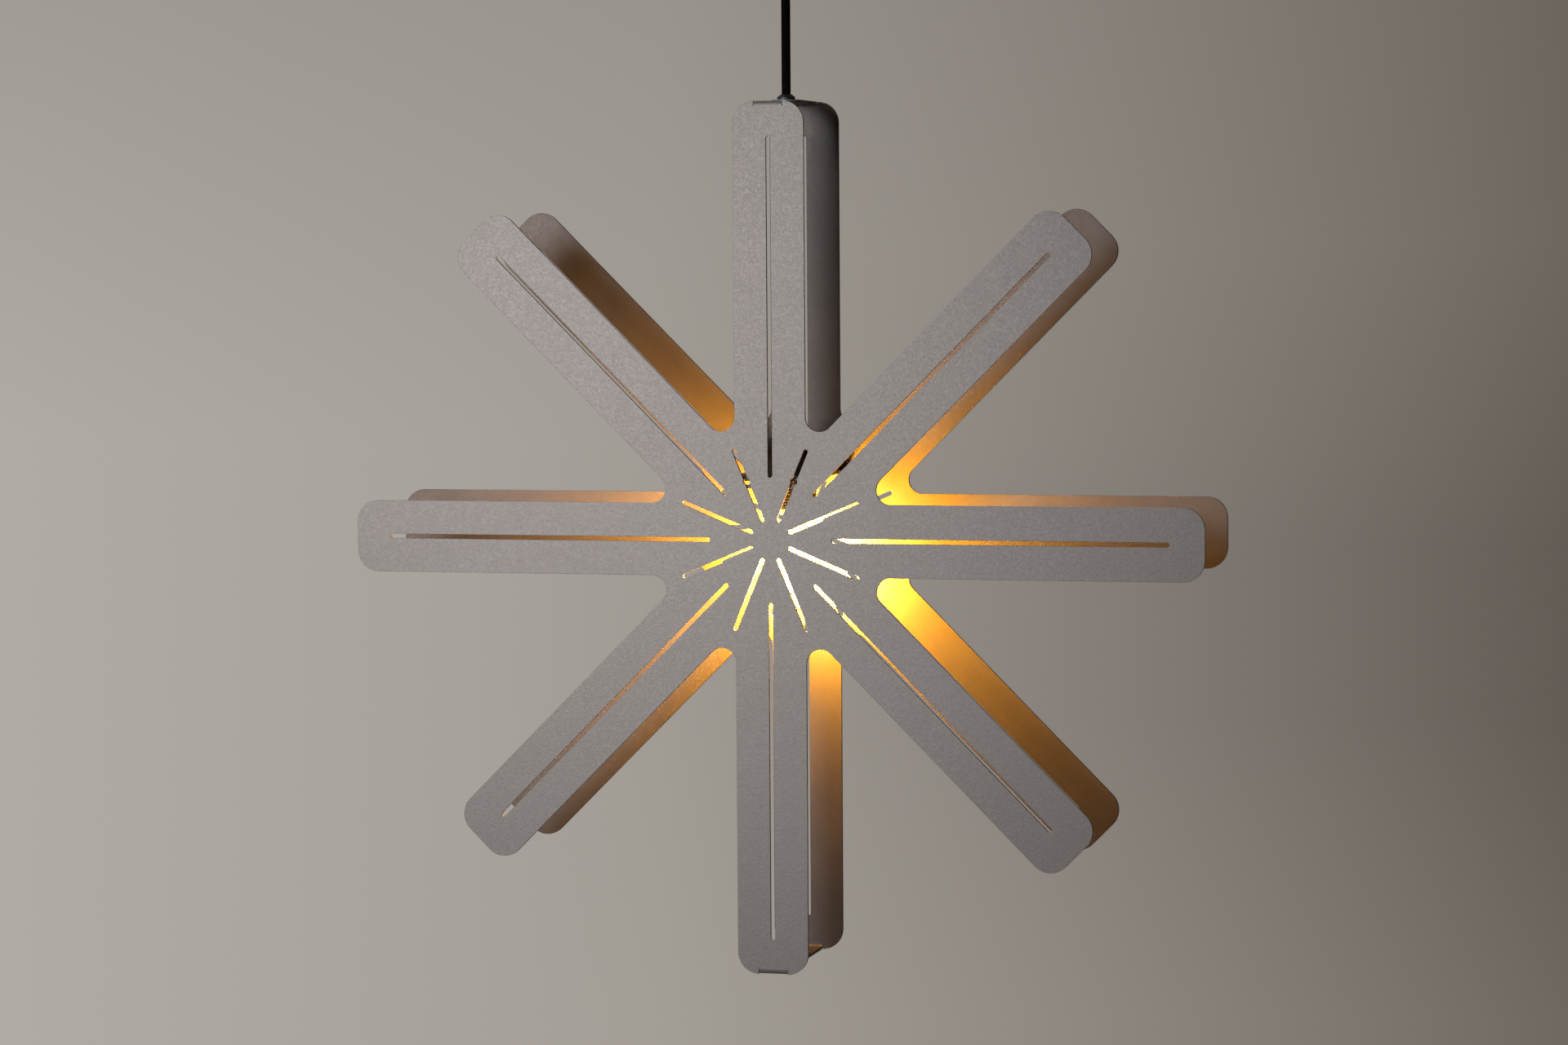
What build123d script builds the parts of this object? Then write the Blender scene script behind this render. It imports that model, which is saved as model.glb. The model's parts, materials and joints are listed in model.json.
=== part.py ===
from build123d import *
import os
from math import cos, radians, sin

# Advent star pendant: two folded sheet stars hang on a cord, with a lamp holder and a clear bulb
# between them. Millimetres, +Z up. The origin is on the cord's axis in the ceiling plane,
# and the front star faces -Y.

os.makedirs("parts", exist_ok=True)

# Star sheets
arm_pairs = 4
tip_radius = 300.0
arm_width = 50.0
arm_corner = 15.0
notch_fillet = 10.0
sheet = 2.0
fold_radius = 1.5
fold_relief = 0.3
tongue_width = 20.0
shade_depth = 100.0
slot_width = 3.2
long_slot_start = 43.0
long_slot_margin = 24.0
short_slot_start = 13.5
short_slot_end = 67.5
sight_hole_d = 5.0
sight_hole_radius = 43.7

# Cord, and the bushing that clamps the top tongues
cord_d = 6.3
cord_shown = 74.7
cord_clearance = 0.15
swing_rise = 2.5
swing_gap = 0.2
bushing_head_d = 12.8
bushing_head_h = 3.7
bushing_rim_h = 1.7
bushing_mouth_d = 7.8
bushing_d = 10.0
bushing_tail = 4.0
bushing_nut_flats = 14.0
bushing_nut_h = 4.0
hole_clearance = 0.2
thread_clearance = 0.05

# Screw and nut that clamp the bottom tongues
tie_screw_d = 4.0
tie_head_d = 8.0
tie_head_h = 2.6
tie_socket_flats = 2.5
tie_socket_depth = 1.4
tie_nut_flats = 7.0
tie_nut_h = 3.2
tie_tail = 1.5

# Shelf bracket behind the hub
shelf_rise = 44.0
bracket_width = 60.0
bracket_flange = 8.5
bracket_corner = 3.0

# Lamp holder
skirt_d = 39.5
skirt_wall = 3.3
skirt_drop = 24.4
collar_d = 46.0
collar_h = 3.0
holder_neck_d = 37.2
holder_neck_h = 9.0
insert_rise = 6.0
insert_d = 34.2
insert_h = 8.0
insert_clearance = 0.1
cap_wall = 2.2
cap_side_h = 13.0
cap_dome_h = 14.0
cap_neck_d = 17.0
cap_neck_h = 8.0
cap_round = 5.0
cord_in_cap = 2.0
ring_d = 48.0
ring_h = 3.0
ring_notches = 6
ring_notch_d = 5.0
shell_wall = 0.5
shell_drop = 26.0
shell_rim_d = 18.0
contact_drop = 2.4
contact_sheet = 0.5
contact_width = 6.0
contact_start = 8.0
contact_bend = 3.0
terminal_offset = 9.0
terminal_d = 3.5
terminal_head_d = 6.4
terminal_head_h = 2.2
terminal_depth = 6.0
lock_screw_d = 3.0
core_d = 2.1
core_offset = 1.6
core_bend = 2.0
core_gap = 0.15

# Bulb
bulb_length = 106.0
bulb_d = 60.0
bulb_neck_d = 24.6
bulb_neck_drop = 4.5
glass_wall = 0.9
glass_gap = 0.2
glass_in_cap = 3.5
bulb_cap_d = 26.2
bulb_cap_wall = 0.5
bulb_cap_h = 21.5
bulb_shoulder_h = 2.3
bulb_shoulder_d = 21.0
insulator_h = 2.2
bulb_contact_d = 9.0
bulb_contact_h = 1.0
screw_fit = 0.1
contact_gap = 0.1
stem_d = 8.0
stem_flare_h = 7.0
stem_length = 20.0
stem_rod_d = 2.4
filament_count = 4
filament_d = 2.0
filament_length = 36.0
filament_drop = 69.5
filament_top_reach = 8.7
filament_low_reach = 5.5
lead_d = 0.8
lead_hub_d = 4.4
lead_hub_h = 1.2
lead_gap = 0.15

# Ceiling fixing
bracket_plate_x = 64.0
bracket_plate_y = 20.0
bracket_hole_d = 5.0
bracket_hole_spacing = 50.0
plate_corner = 4.0
hanger_width = 20.0
hanger_drop = 43.0
hanger_corner = 4.0
supply_slot_x = 14.0
supply_slot_y = 6.0
clamp_level = 36.0
clamp_h = 10.0
clamp_cover = 2.0
clamp_screw_spacing = 14.0
clamp_screw_d = 3.0
clamp_head_d = 5.6
clamp_head_h = 2.0
cord_in_clamp = 5.0
block_x = 18.0
block_front = 9.0
block_h = 12.0
block_top = 4.0
pole_spacing = 9.0
pole_front = 3.0
sleeve_d = 4.4
sleeve_bore = 2.6
sleeve_inset = 1.0
terminal_screw_d = 2.5
block_screw_d = 3.0
block_head_d = 5.6
block_head_sink = 2.5

# Ceiling cup
cup_rim_gap = 0.5
cup_d = 84.0
cup_height = 58.0
cup_wall = 2.5
cup_round = 10.0
grip_d = 18.0
grip_low_d = 14.0
grip_drop = 14.0
grip_thread_d = 12.0
grip_tail = 2.5
cup_nut_flats = 18.0
cup_nut_h = 5.0
grip_screw_d = 4.0

# Levels, from the ceiling down
fold_outer = fold_radius + sheet
long_slot_end = tip_radius - long_slot_margin
cord_r = cord_d / 2
cord_bore = cord_r + cord_clearance
cup_base = -cup_rim_gap - cup_height
grip_low = cup_base - grip_drop
bushing_top = grip_low - cord_shown
swing_level = bushing_top + swing_rise
star_level = bushing_top - bushing_head_h - sheet - tip_radius
back_level = star_level + sheet
inner_y = shade_depth / 2 - sheet
shelf_top = star_level + shelf_rise
collar_top = shelf_top + collar_h
insert_low = shelf_top + insert_rise
insert_top = insert_low + insert_h
cap_side_top = collar_top + cap_side_h
cap_dome_top = cap_side_top + cap_dome_h
cap_top = cap_dome_top + cap_neck_h
cord_low = cap_dome_top - cap_wall - cord_in_cap
bulb_tip = insert_low - contact_drop - contact_gap
insulator_top = bulb_tip - bulb_contact_h
insulator_low = insulator_top - insulator_h
bulb_cap_side_top = insulator_low - bulb_shoulder_h
bulb_cap_low = bulb_cap_side_top - bulb_cap_h
bulb_low = bulb_tip - bulb_length
filament_level = bulb_tip - filament_drop
sheath_top = -clamp_level + clamp_h / 2 + cord_in_clamp
hanger_y = cord_r + cord_clearance


def profile(points, rounds=()):
    """Closed outline in the XZ plane; rounds lists (corner, radius) pairs."""
    with BuildSketch(Plane.XZ) as outline:
        with BuildLine():
            Polyline(*points, close=True)
        make_face()
        for corner, radius in rounds:
            fillet(outline.vertices().sort_by_distance(corner)[0], radius)
    return outline.sketch


def star_plane(outward, level):
    """Outer face of a star, in front (outward -1) or at the back (1), with local Y up."""
    return Plane((0, outward * shade_depth / 2, level), x_dir=(-outward, 0, 0), z_dir=(0, outward, 0))


def star_outline(face):
    """Star with rounded arms, filleted notches, slots, sight holes and room for the folds."""
    step = 180 / arm_pairs
    with BuildSketch(face) as outline:
        for pair in range(arm_pairs):
            RectangleRounded(2 * tip_radius, arm_width, arm_corner, rotation=90 + step * pair)
        fillet(outline.vertices().sort_by(SortBy.DISTANCE)[: 2 * arm_pairs], notch_fillet)
        with PolarLocations((long_slot_start + long_slot_end) / 2, 2 * arm_pairs, start_angle=90):
            SlotOverall(long_slot_end - long_slot_start, slot_width, mode=Mode.SUBTRACT)
        with PolarLocations((short_slot_start + short_slot_end) / 2, 2 * arm_pairs, start_angle=90 + step / 2):
            SlotOverall(short_slot_end - short_slot_start, slot_width, mode=Mode.SUBTRACT)
        with PolarLocations(sight_hole_radius, 2, 90 - step / 2, step, endpoint=True):
            Circle(sight_hole_d / 2, mode=Mode.SUBTRACT)
        fold_middle = tip_radius - fold_outer + arm_corner / 2
        with Locations((0, fold_middle), (0, -fold_middle)):
            Rectangle(tongue_width + 2 * fold_relief, arm_corner, mode=Mode.SUBTRACT)
    return outline.sketch


def tongue_profile(face):
    """Section through both tongues: each is folded inwards from an arm's end to the cord's axis."""
    leg = tip_radius - 2 * fold_outer
    reach = shade_depth / 2
    with BuildSketch(Plane(face.origin, x_dir=-face.z_dir, z_dir=face.x_dir)) as section:
        with BuildLine():
            Polyline(
                (0, leg),
                (0, tip_radius),
                (reach, tip_radius),
                (reach, tip_radius - sheet),
                (sheet, tip_radius - sheet),
                (sheet, leg),
                close=True,
            )
        make_face()
        fillet(section.vertices().sort_by_distance((0, tip_radius))[0], fold_outer)
        fillet(section.vertices().sort_by_distance((sheet, tip_radius - sheet))[0], fold_radius)
        mirror(about=Plane.XZ)
    return section.sketch


def disc(radius, level):
    """Circle about the cord's axis."""
    with BuildSketch(Plane.XY.offset(level)) as circle:
        Circle(radius)
    return circle.sketch


def hexagon(flats, level):
    """Hexagon about the cord's axis, by its width across flats."""
    with BuildSketch(Plane.XY.offset(level)) as outline:
        RegularPolygon(flats / 2, 6, major_radius=False)
    return outline.sketch


def add_star(face):
    """Adds one star sheet, with round-ended tongues, to the part that is being built."""
    extrude(star_outline(face), amount=-sheet)
    extrude(tongue_profile(face), amount=tongue_width / 2, both=True)
    top_tongue = face.origin.Z + tip_radius - sheet
    low_tongue = face.origin.Z - tip_radius
    for level, hole_d in ((top_tongue, bushing_d), (low_tongue, tie_screw_d)):
        extrude(disc(tongue_width / 2, level), amount=sheet)
        extrude(disc(hole_d / 2 + hole_clearance, level), amount=sheet, mode=Mode.SUBTRACT)


with BuildPart() as front_star:
    add_star(star_plane(-1, star_level))
front_star.part.label = "front_star"
export_step(front_star.part, "parts/front_star.step")

with BuildPart() as back_star:
    add_star(star_plane(1, back_level))
back_star.part.label = "back_star"
export_step(back_star.part, "parts/back_star.step")

# Shelf bracket: its flanges lie on the inner faces of both stars
with BuildPart() as holder_bracket:
    flange_low = shelf_top - bracket_flange
    with BuildSketch(Plane.YZ) as channel:
        with BuildLine():
            Polyline(
                (-inner_y, flange_low),
                (-inner_y, shelf_top),
                (inner_y, shelf_top),
                (inner_y, flange_low),
                (inner_y - sheet, flange_low),
                (inner_y - sheet, shelf_top - sheet),
                (sheet - inner_y, shelf_top - sheet),
                (sheet - inner_y, flange_low),
                close=True,
            )
        make_face()
        for side in (1, -1):
            fillet(channel.vertices().sort_by_distance((side * inner_y, shelf_top))[0], fold_outer)
            inside = (side * (inner_y - sheet), shelf_top - sheet)
            fillet(channel.vertices().sort_by_distance(inside)[0], fold_radius)
    extrude(amount=bracket_width / 2, both=True)
    fillet(holder_bracket.edges().filter_by(Axis.Y).group_by(Axis.Z)[0], bracket_corner)
    extrude(disc(skirt_d / 2 + hole_clearance, shelf_top - sheet), amount=sheet, mode=Mode.SUBTRACT)
    with BuildSketch(Plane((0, -inner_y, star_level), x_dir=(1, 0, 0), z_dir=(0, -1, 0))):
        with PolarLocations(sight_hole_radius, 2, 90 - 90 / arm_pairs, 180 / arm_pairs, endpoint=True):
            Circle(sight_hole_d / 2)
    extrude(amount=-sheet, mode=Mode.SUBTRACT)
holder_bracket.part.label = "holder_bracket"
export_step(holder_bracket.part, "parts/holder_bracket.step")

# Bushing and nut clamp the two top tongues round the cord
with BuildPart() as cord_bushing:
    bushing_seat = bushing_top - bushing_head_h
    bushing_low = bushing_seat - 2 * sheet - bushing_nut_h - bushing_tail
    head_r = bushing_head_d / 2
    revolve(
        profile(
            [
                (cord_bore, bushing_low),
                (bushing_d / 2, bushing_low),
                (bushing_d / 2, bushing_seat),
                (head_r, bushing_seat),
                (head_r, bushing_seat + bushing_rim_h),
                (bushing_mouth_d / 2, bushing_top),
                (cord_bore, bushing_top),
            ]
        ),
        axis=Axis.Z,
    )
cord_bushing.part.label = "cord_bushing"
export_step(cord_bushing.part, "parts/cord_bushing.step")

with BuildPart() as bushing_nut:
    nut_low = bushing_seat - 2 * sheet - bushing_nut_h
    extrude(hexagon(bushing_nut_flats, nut_low), amount=bushing_nut_h)
    extrude(disc(bushing_d / 2 + thread_clearance, nut_low), amount=bushing_nut_h, mode=Mode.SUBTRACT)
bushing_nut.part.label = "bushing_nut"
export_step(bushing_nut.part, "parts/bushing_nut.step")

# Screw and nut clamp the two bottom tongues
with BuildPart() as bottom_screw:
    tie_seat = star_level - tip_radius
    tie_top = tie_seat + 2 * sheet + tie_nut_h + tie_tail
    tie_head_low = tie_seat - tie_head_h
    revolve(
        profile(
            [
                (0, tie_head_low),
                (tie_head_d / 2, tie_head_low),
                (tie_head_d / 2, tie_seat),
                (tie_screw_d / 2, tie_seat),
                (tie_screw_d / 2, tie_top),
                (0, tie_top),
            ],
            [((tie_head_d / 2, tie_head_low), tie_head_h / 2)],
        ),
        axis=Axis.Z,
    )
    extrude(hexagon(tie_socket_flats, tie_head_low), amount=tie_socket_depth, mode=Mode.SUBTRACT)
bottom_screw.part.label = "bottom_screw"
export_step(bottom_screw.part, "parts/bottom_screw.step")

with BuildPart() as bottom_nut:
    tie_nut_low = tie_seat + 2 * sheet
    extrude(hexagon(tie_nut_flats, tie_nut_low), amount=tie_nut_h)
    extrude(disc(tie_screw_d / 2 + thread_clearance, tie_nut_low), amount=tie_nut_h, mode=Mode.SUBTRACT)
bottom_nut.part.label = "bottom_nut"
export_step(bottom_nut.part, "parts/bottom_nut.step")

# Cord: straight from the clamp in the cup down to the bend above the bushing
with BuildPart() as cord:
    cord_bend = swing_level + cord_r + swing_gap
    extrude(disc(cord_r, cord_bend), amount=sheath_top - cord_bend)
cord.part.label = "cord"
export_step(cord.part, "parts/cord.step")

# Lower cord: from its round end at the bend, through the bushing, to the lamp holder
with BuildPart() as lower_cord:
    extrude(disc(cord_r, cord_low), amount=swing_level - cord_low)
    with Locations((0, 0, swing_level)):
        Sphere(cord_r)
lower_cord.part.label = "lower_cord"
export_step(lower_cord.part, "parts/lower_cord.step")

# Holder skirt: its collar rests on the shelf, and the neck above it goes into the cap
with BuildPart() as holder_skirt:
    skirt_r = skirt_d / 2
    skirt_low = shelf_top - skirt_drop
    neck_top = collar_top + holder_neck_h
    seat_r = insert_d / 2 + insert_clearance
    revolve(
        profile(
            [
                (skirt_r - skirt_wall, skirt_low),
                (skirt_r, skirt_low),
                (skirt_r, shelf_top),
                (collar_d / 2, shelf_top),
                (collar_d / 2, collar_top),
                (holder_neck_d / 2, collar_top),
                (holder_neck_d / 2, neck_top),
                (seat_r, neck_top),
                (seat_r, insert_low),
                (skirt_r - skirt_wall, insert_low),
            ]
        ),
        axis=Axis.Z,
    )
holder_skirt.part.label = "holder_skirt"
export_step(holder_skirt.part, "parts/holder_skirt.step")

# Ring that screws up the skirt and clamps the shelf against the collar
with BuildPart() as shade_ring:
    ring_low = shelf_top - sheet - ring_h
    with BuildSketch(Plane.XY.offset(ring_low)):
        Circle(ring_d / 2)
        Circle(skirt_r + thread_clearance, mode=Mode.SUBTRACT)
        with PolarLocations(ring_d / 2, ring_notches, start_angle=90 / ring_notches):
            Circle(ring_notch_d / 2, mode=Mode.SUBTRACT)
    extrude(amount=ring_h)
shade_ring.part.label = "shade_ring"
export_step(shade_ring.part, "parts/shade_ring.step")

# Holder cap: side wall, dome and the neck that holds the cord
with BuildPart() as holder_cap:
    cap_in = holder_neck_d / 2 + thread_clearance
    cap_out = cap_in + cap_wall
    cap_neck_r = cap_neck_d / 2
    dome_in = cap_neck_r - cap_wall
    revolve(
        profile(
            [
                (cap_in, collar_top),
                (cap_out, collar_top),
                (cap_out, cap_side_top),
                (cap_neck_r, cap_dome_top),
                (cap_neck_r, cap_top),
                (cord_bore, cap_top),
                (cord_bore, cap_dome_top - cap_wall),
                (dome_in, cap_dome_top - cap_wall),
                (cap_in, cap_side_top),
            ],
            [
                ((cap_out, cap_side_top), cap_round),
                ((cap_neck_r, cap_dome_top), cap_round),
            ],
        ),
        axis=Axis.Z,
    )
    lock_level = (cap_dome_top + cap_top) / 2
    with BuildSketch(Plane.XZ.offset(cord_bore)):
        with Locations((0, lock_level)):
            Circle(lock_screw_d / 2 + thread_clearance)
    extrude(amount=cap_neck_r, mode=Mode.SUBTRACT)
holder_cap.part.label = "holder_cap"
export_step(holder_cap.part, "parts/holder_cap.step")

with BuildPart() as cord_lock_screw:
    with BuildSketch(Plane.XZ.offset(cord_bore)):
        with Locations((0, lock_level)):
            Circle(lock_screw_d / 2)
    extrude(amount=cap_neck_r - cord_bore)
cord_lock_screw.part.label = "cord_lock_screw"
export_step(cord_lock_screw.part, "parts/cord_lock_screw.step")

# Insert: insulating disc on the skirt's inner ledge, with the two terminals
with BuildPart() as holder_insert:
    extrude(disc(insert_d / 2, insert_low), amount=insert_h)
    with BuildSketch(Plane.XY.offset(insert_top)):
        with PolarLocations(terminal_offset, 2):
            Circle(terminal_d / 2 + thread_clearance)
    extrude(amount=-terminal_depth, mode=Mode.SUBTRACT)
holder_insert.part.label = "holder_insert"
export_step(holder_insert.part, "parts/holder_insert.step")

with BuildPart() as holder_terminals:
    with BuildSketch(Plane.XY.offset(insert_top)):
        with PolarLocations(terminal_offset, 2):
            Circle(terminal_d / 2)
    extrude(amount=-terminal_depth)
    with BuildSketch(Plane.XY.offset(insert_top)):
        with PolarLocations(terminal_offset, 2):
            Circle(terminal_head_d / 2)
    extrude(amount=terminal_head_h)
holder_terminals.part.label = "holder_terminals"
export_step(holder_terminals.part, "parts/holder_terminals.step")

# Screw shell under the insert takes the bulb's cap
with BuildPart() as screw_shell:
    shell_in = bulb_cap_d / 2 + screw_fit
    revolve(
        profile(
            [
                (shell_in, insert_low - shell_drop),
                (shell_in + shell_wall, insert_low - shell_drop),
                (shell_in + shell_wall, insert_low),
                (shell_rim_d / 2, insert_low),
                (shell_rim_d / 2, insert_low - shell_wall),
                (shell_in, insert_low - shell_wall),
            ]
        ),
        axis=Axis.Z,
    )
screw_shell.part.label = "screw_shell"
export_step(screw_shell.part, "parts/screw_shell.step")

# Centre contact: a leaf that slopes from the insert down to the bulb's tip
with BuildPart() as centre_contact:
    leaf_low = insert_low - contact_drop
    leaf = profile(
        [
            (contact_start, insert_low),
            (contact_bend, insert_low),
            (-contact_bend, leaf_low + contact_sheet),
            (-contact_bend, leaf_low),
            (contact_bend, insert_low - contact_sheet),
            (contact_start, insert_low - contact_sheet),
        ]
    )
    extrude(leaf, amount=contact_width / 2, both=True)
centre_contact.part.label = "centre_contact"
export_step(centre_contact.part, "parts/centre_contact.step")


def add_core(points, bend):
    """Adds one insulated core of the cord along a rounded path."""
    with BuildLine() as route:
        FilletPolyline(*points, radius=bend)
    with BuildSketch(Plane(route.line @ 0, z_dir=route.line % 0)) as section:
        Circle(core_d / 2)
    sweep(section.sketch, path=route.line)


# Cores of the cord inside the cap, from the sheath to the terminals
with BuildPart() as holder_cores:
    core_low = insert_top + terminal_head_h + core_gap
    core_turn = (cord_low + core_low) / 2
    core_step = (cord_low - core_low) / 5
    for side in (1, -1):
        add_core(
            [
                (side * core_offset, 0, cord_low),
                (side * core_offset, 0, core_turn + core_step),
                (side * terminal_offset, 0, core_turn - core_step),
                (side * terminal_offset, 0, core_low),
            ],
            core_bend,
        )
holder_cores.part.label = "holder_cores"
export_step(holder_cores.part, "parts/holder_cores.step")

# Bulb cap, its insulator and its tip
with BuildPart() as bulb_cap:
    bulb_cap_r = bulb_cap_d / 2
    shoulder_r = bulb_shoulder_d / 2
    revolve(
        profile(
            [
                (bulb_cap_r, bulb_cap_low),
                (bulb_cap_r, bulb_cap_side_top),
                (shoulder_r, insulator_low),
                (shoulder_r - 2 * bulb_cap_wall, insulator_low),
                (bulb_cap_r - bulb_cap_wall, bulb_cap_side_top - bulb_cap_wall),
                (bulb_cap_r - bulb_cap_wall, bulb_cap_low),
            ]
        ),
        axis=Axis.Z,
    )
bulb_cap.part.label = "bulb_cap"
export_step(bulb_cap.part, "parts/bulb_cap.step")

with BuildPart() as bulb_insulator:
    revolve(
        profile(
            [
                (0, insulator_low),
                (shoulder_r, insulator_low),
                (bulb_contact_d / 2, insulator_top),
                (0, insulator_top),
            ]
        ),
        axis=Axis.Z,
    )
bulb_insulator.part.label = "bulb_insulator"
export_step(bulb_insulator.part, "parts/bulb_insulator.step")

with BuildPart() as bulb_contact:
    extrude(disc(bulb_contact_d / 2, insulator_top), amount=bulb_contact_h)
    fillet(bulb_contact.edges().group_by(Axis.Z)[-1], bulb_contact_h / 2)
bulb_contact.part.label = "bulb_contact"
export_step(bulb_contact.part, "parts/bulb_contact.step")


def bulb_outline(inset):
    """Half section of the envelope: a ball below and a hollow curve up to the straight neck."""
    ball_r = bulb_d / 2
    ball_level = bulb_low + ball_r
    neck_r = bulb_neck_d / 2
    neck_low = bulb_cap_low - bulb_neck_drop
    rise = neck_low - ball_level
    hollow_r = (rise**2 + neck_r**2 - ball_r**2) / (2 * (ball_r - neck_r))
    share = ball_r / (ball_r + hollow_r)
    turn_r = (neck_r + hollow_r) * share * (ball_r - inset) / ball_r
    turn_level = ball_level + rise * share * (ball_r - inset) / ball_r
    glass_top = bulb_cap_low + glass_in_cap
    with BuildSketch(Plane.XZ) as outline:
        with BuildLine():
            ball = ThreePointArc(
                (0, bulb_low + inset),
                (ball_r - inset, ball_level),
                (turn_r, turn_level),
            )
            hollow = TangentArc(ball @ 1, (neck_r - inset, neck_low), tangent=ball % 1)
            Polyline(hollow @ 1, (neck_r - inset, glass_top), (0, glass_top), ball @ 0)
        make_face()
    return outline.sketch


with BuildPart() as bulb_glass:
    revolve(bulb_outline(0), axis=Axis.Z)
    revolve(bulb_outline(glass_wall), axis=Axis.Z, mode=Mode.SUBTRACT)
bulb_glass.part.label = "bulb_glass"
export_step(bulb_glass.part, "parts/bulb_glass.step")

# Stem: a flare sealed into the neck and a thin rod that carries the filaments
with BuildPart() as bulb_stem:
    flare_r = bulb_neck_d / 2 - glass_wall - glass_gap
    flare_top = bulb_cap_low + glass_in_cap
    filament_top = filament_level + filament_length / 2
    filament_low = filament_level - filament_length / 2
    rod_r = stem_rod_d / 2
    rod_low = filament_low - lead_gap - lead_hub_h
    revolve(
        profile(
            [
                (0, rod_low),
                (rod_r, rod_low),
                (rod_r, flare_top - stem_length),
                (stem_d / 2, flare_top - stem_length),
                (stem_d / 2, flare_top - stem_flare_h),
                (flare_r, flare_top - glass_wall),
                (flare_r, flare_top),
                (0, flare_top),
            ],
            [((stem_d / 2, flare_top - stem_length), rod_r)],
        ),
        axis=Axis.Z,
    )
bulb_stem.part.label = "bulb_stem"
export_step(bulb_stem.part, "parts/bulb_stem.step")

filament_turns = [radians(360 / filament_count * index) for index in range(filament_count)]

with BuildPart() as bulb_filaments:
    for turn in filament_turns:
        start = Vector(filament_top_reach * cos(turn), filament_top_reach * sin(turn), filament_top)
        end = Vector(filament_low_reach * cos(turn), filament_low_reach * sin(turn), filament_low)
        with BuildSketch(Plane(start, z_dir=end - start)):
            Circle(filament_d / 2)
        extrude(amount=(end - start).length)
bulb_filaments.part.label = "bulb_filaments"
export_step(bulb_filaments.part, "parts/bulb_filaments.step")

# Two wire stars on the rod hold the filaments' ends
with BuildPart() as bulb_leads:
    lead_r = lead_d / 2
    top_leads = filament_top + lead_gap + lead_r
    low_leads = filament_low - lead_gap - lead_r
    for level, reach in ((top_leads, filament_top_reach), (low_leads, filament_low_reach)):
        for turn in filament_turns:
            with BuildSketch(Plane((0, 0, level), z_dir=(cos(turn), sin(turn), 0))):
                Circle(lead_r)
            extrude(amount=reach + lead_r)
        extrude(disc(lead_hub_d / 2, level - lead_hub_h / 2), amount=lead_hub_h)
        bore = disc(rod_r + thread_clearance, level - lead_hub_h / 2)
        extrude(bore, amount=lead_hub_h, mode=Mode.SUBTRACT)
bulb_leads.part.label = "bulb_leads"
export_step(bulb_leads.part, "parts/bulb_leads.step")

# Ceiling bracket: a screwed plate with a hanger folded down behind the cord
with BuildPart() as ceiling_bracket:
    hanger_back = hanger_y + sheet
    with BuildSketch(Plane.XY.offset(-sheet)):
        RectangleRounded(bracket_plate_x, bracket_plate_y, plate_corner)
        with Locations((bracket_hole_spacing / 2, 0), (-bracket_hole_spacing / 2, 0)):
            Circle(bracket_hole_d / 2, mode=Mode.SUBTRACT)
        with Locations((0, hanger_back - fold_outer)):
            Rectangle(
                hanger_width + 2 * fold_relief,
                bracket_plate_y,
                align=(Align.CENTER, Align.MIN),
                mode=Mode.SUBTRACT,
            )
        with Locations((0, -pole_front)):
            SlotOverall(supply_slot_x, supply_slot_y, mode=Mode.SUBTRACT)
    extrude(amount=sheet)
    with BuildSketch(Plane.YZ) as hanger:
        with BuildLine():
            Polyline(
                (hanger_back - 2 * fold_outer, 0),
                (hanger_back, 0),
                (hanger_back, -hanger_drop),
                (hanger_y, -hanger_drop),
                (hanger_y, -sheet),
                (hanger_back - 2 * fold_outer, -sheet),
                close=True,
            )
        make_face()
        fillet(hanger.vertices().sort_by_distance((hanger_back, 0))[0], fold_outer)
        fillet(hanger.vertices().sort_by_distance((hanger_y, -sheet))[0], fold_radius)
    extrude(amount=hanger_width / 2, both=True)
    with BuildSketch(Plane.XY.offset(-sheet)):
        with Locations((0, -pole_front)):
            SlotOverall(supply_slot_x, supply_slot_y)
    extrude(amount=sheet, mode=Mode.SUBTRACT)
    fillet(ceiling_bracket.edges().filter_by(Axis.Y).group_by(Axis.Z)[0], hanger_corner)
    block_level = -block_top - block_h / 2
    with BuildSketch(Plane.XZ.offset(-hanger_back)):
        with Locations((0, block_level)):
            Circle(block_screw_d / 2 + thread_clearance)
        with Locations((0, -clamp_level)):
            with GridLocations(clamp_screw_spacing, 0, 2, 1):
                Circle(clamp_screw_d / 2 + thread_clearance)
    extrude(amount=sheet, mode=Mode.SUBTRACT)
ceiling_bracket.part.label = "ceiling_bracket"
export_step(ceiling_bracket.part, "parts/ceiling_bracket.step")

# Saddle that clamps the cord to the hanger
with BuildPart() as cord_clamp:
    clamp_front = -cord_bore - clamp_cover
    with BuildSketch(Plane.XY.offset(-clamp_level - clamp_h / 2)):
        with Locations((0, hanger_y)):
            Rectangle(hanger_width, hanger_y - clamp_front, align=(Align.CENTER, Align.MAX))
        Circle(cord_bore, mode=Mode.SUBTRACT)
        Rectangle(2 * cord_bore, hanger_y, align=(Align.CENTER, Align.MIN), mode=Mode.SUBTRACT)
    extrude(amount=clamp_h)
    fillet(cord_clamp.edges().filter_by(Axis.Z).group_by(Axis.Y)[0], clamp_cover)
    with BuildSketch(Plane.XZ.offset(-hanger_y)):
        with Locations((0, -clamp_level)):
            with GridLocations(clamp_screw_spacing, 0, 2, 1):
                Circle(clamp_screw_d / 2 + thread_clearance)
    extrude(amount=hanger_y - clamp_front, mode=Mode.SUBTRACT)
cord_clamp.part.label = "cord_clamp"
export_step(cord_clamp.part, "parts/cord_clamp.step")

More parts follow.
